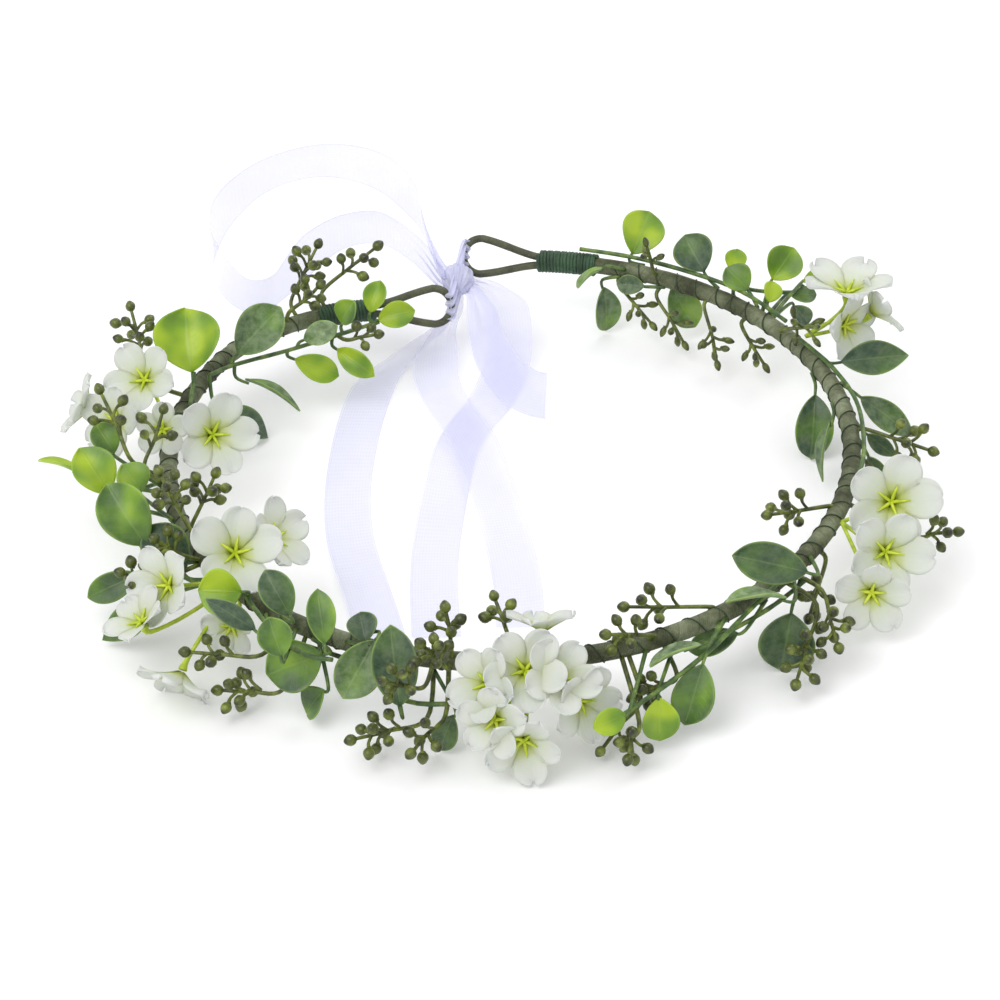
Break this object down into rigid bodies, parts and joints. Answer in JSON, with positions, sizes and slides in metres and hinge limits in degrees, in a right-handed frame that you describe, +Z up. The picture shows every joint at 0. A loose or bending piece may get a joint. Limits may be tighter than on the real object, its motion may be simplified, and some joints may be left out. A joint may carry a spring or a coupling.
{
  "type": "flower crown",
  "caption": "Ring-shaped hair garland of artificial leaves, berries and white blossom on a bound wire, open at the back and tied with a sheer ribbon.",
  "frame": {"origin": "centre of the wire ring, on the table that the crown lies on", "axes": "+Z up, along the ring's own axis; +Y to the back, where the ribbon is tied; +X to the wearer's side on the right of the tie as seen from the front"},
  "size_m": [0.2443, 0.2607, 0.0437],
  "materials": {
    "wire": "paper-covered iron wire, dark olive",
    "paper_tape": "stretched crepe paper tape, grey-green",
    "binding_wire": "thin enamelled wire, dark green",
    "binding_thread": "waxed cotton thread, dark green",
    "leaf_plastic": "moulded soft plastic, yellow-green to blue-green with a waxy bloom",
    "stem_plastic": "moulded plastic, mid green",
    "berry_plastic": "moulded plastic, olive green",
    "twig_plastic": "moulded plastic, olive green",
    "petal_fabric": "pressed polyester, ivory white",
    "throat_plastic": "moulded plastic, yellow-green",
    "organza": "sheer organza ribbon, white"
  },
  "bodies": {
    "right_half": {"core_wire_right": "wire", "stem_tape_right": "paper_tape", "binding_wire_right": "binding_wire", "wire_loop_right": "wire", "collar_right": "binding_thread", "leaves_front_right": "leaf_plastic", "leaves_right": "leaf_plastic", "leaves_back_right": "leaf_plastic", "leaf_stems_front_right": "stem_plastic", "leaf_stems_right": "stem_plastic", "leaf_stems_back_right": "stem_plastic", "berries_front_right": "berry_plastic", "berries_right": "berry_plastic", "berries_back_right": "berry_plastic", "berry_twigs_front_right": "twig_plastic", "berry_twigs_right": "twig_plastic", "berry_twigs_back_right": "twig_plastic", "petals_front": "petal_fabric", "petals_right": "petal_fabric", "petals_back_right": "petal_fabric", "flower_centres_front": "throat_plastic", "flower_centres_right": "throat_plastic", "flower_centres_back_right": "throat_plastic", "flower_stalks_front": "stem_plastic", "flower_stalks_right": "stem_plastic", "flower_stalks_back_right": "stem_plastic", "ribbon_knot": "organza", "ribbon_sling_right": "organza"},
    "left_half": {"core_wire_left": "wire", "stem_tape_left": "paper_tape", "binding_wire_left": "binding_wire", "wire_loop_left": "wire", "collar_left": "binding_thread", "leaves_back_left": "leaf_plastic", "leaves_left": "leaf_plastic", "leaves_front_left": "leaf_plastic", "leaf_stems_back_left": "stem_plastic", "leaf_stems_left": "stem_plastic", "leaf_stems_front_left": "stem_plastic", "berries_back_left": "berry_plastic", "berries_left": "berry_plastic", "berries_front_left": "berry_plastic", "berry_twigs_back_left": "twig_plastic", "berry_twigs_left": "twig_plastic", "berry_twigs_front_left": "twig_plastic", "petals_back_left": "petal_fabric", "petals_front_left": "petal_fabric", "flower_centres_back_left": "throat_plastic", "flower_centres_front_left": "throat_plastic", "flower_stalks_back_left": "stem_plastic", "flower_stalks_front_left": "stem_plastic", "ribbon_sling_left": "organza"},
    "bow_left": {"bow_loop_left": "organza"},
    "bow_right": {"bow_loop_right": "organza"},
    "tail_left": {"ribbon_tail_left": "organza"},
    "tail_middle": {"ribbon_tail_middle": "organza"},
    "tail_right": {"ribbon_tail_right": "organza"}
  },
  "joints": [
    {"name": "ring_flex", "type": "hinge", "parent": "right_half", "child": "left_half", "pos_m": [-0.00962, -0.0915, 0.019], "axis": [0, 0, 1], "range_deg": [0, 6], "stiffness_Nm_per_rad": 1},
    {"name": "bow_left_swing", "type": "hinge", "parent": "right_half", "child": "bow_left", "pos_m": [-0.0178, 0.0857, 0.0192], "axis": [0, 0, 1], "range_deg": [-12, 4]},
    {"name": "bow_right_swing", "type": "hinge", "parent": "right_half", "child": "bow_right", "pos_m": [-0.0085, 0.082, 0.0164], "axis": [1, 0, 0], "range_deg": [-45, 0]},
    {"name": "tail_middle_drop", "type": "hinge", "parent": "right_half", "child": "tail_middle", "pos_m": [-0.0084, 0.088, 0.0132], "axis": [1, 0, 0], "range_deg": [0, 90]},
    {"name": "tail_left_drop", "type": "hinge", "parent": "right_half", "child": "tail_left", "pos_m": [-0.0152, 0.082, 0.0112], "axis": [1, 0, 0], "range_deg": [0, 90]},
    {"name": "tail_right_drop", "type": "hinge", "parent": "right_half", "child": "tail_right", "pos_m": [-0.0152, 0.082, 0.0112], "axis": [1, 0, 0], "range_deg": [0, 90]}
  ],
  "couplings": [
    {"joint": "tail_left_drop", "follows": "tail_middle_drop", "ratio": 1},
    {"joint": "tail_right_drop", "follows": "tail_middle_drop", "ratio": 1}
  ]
}
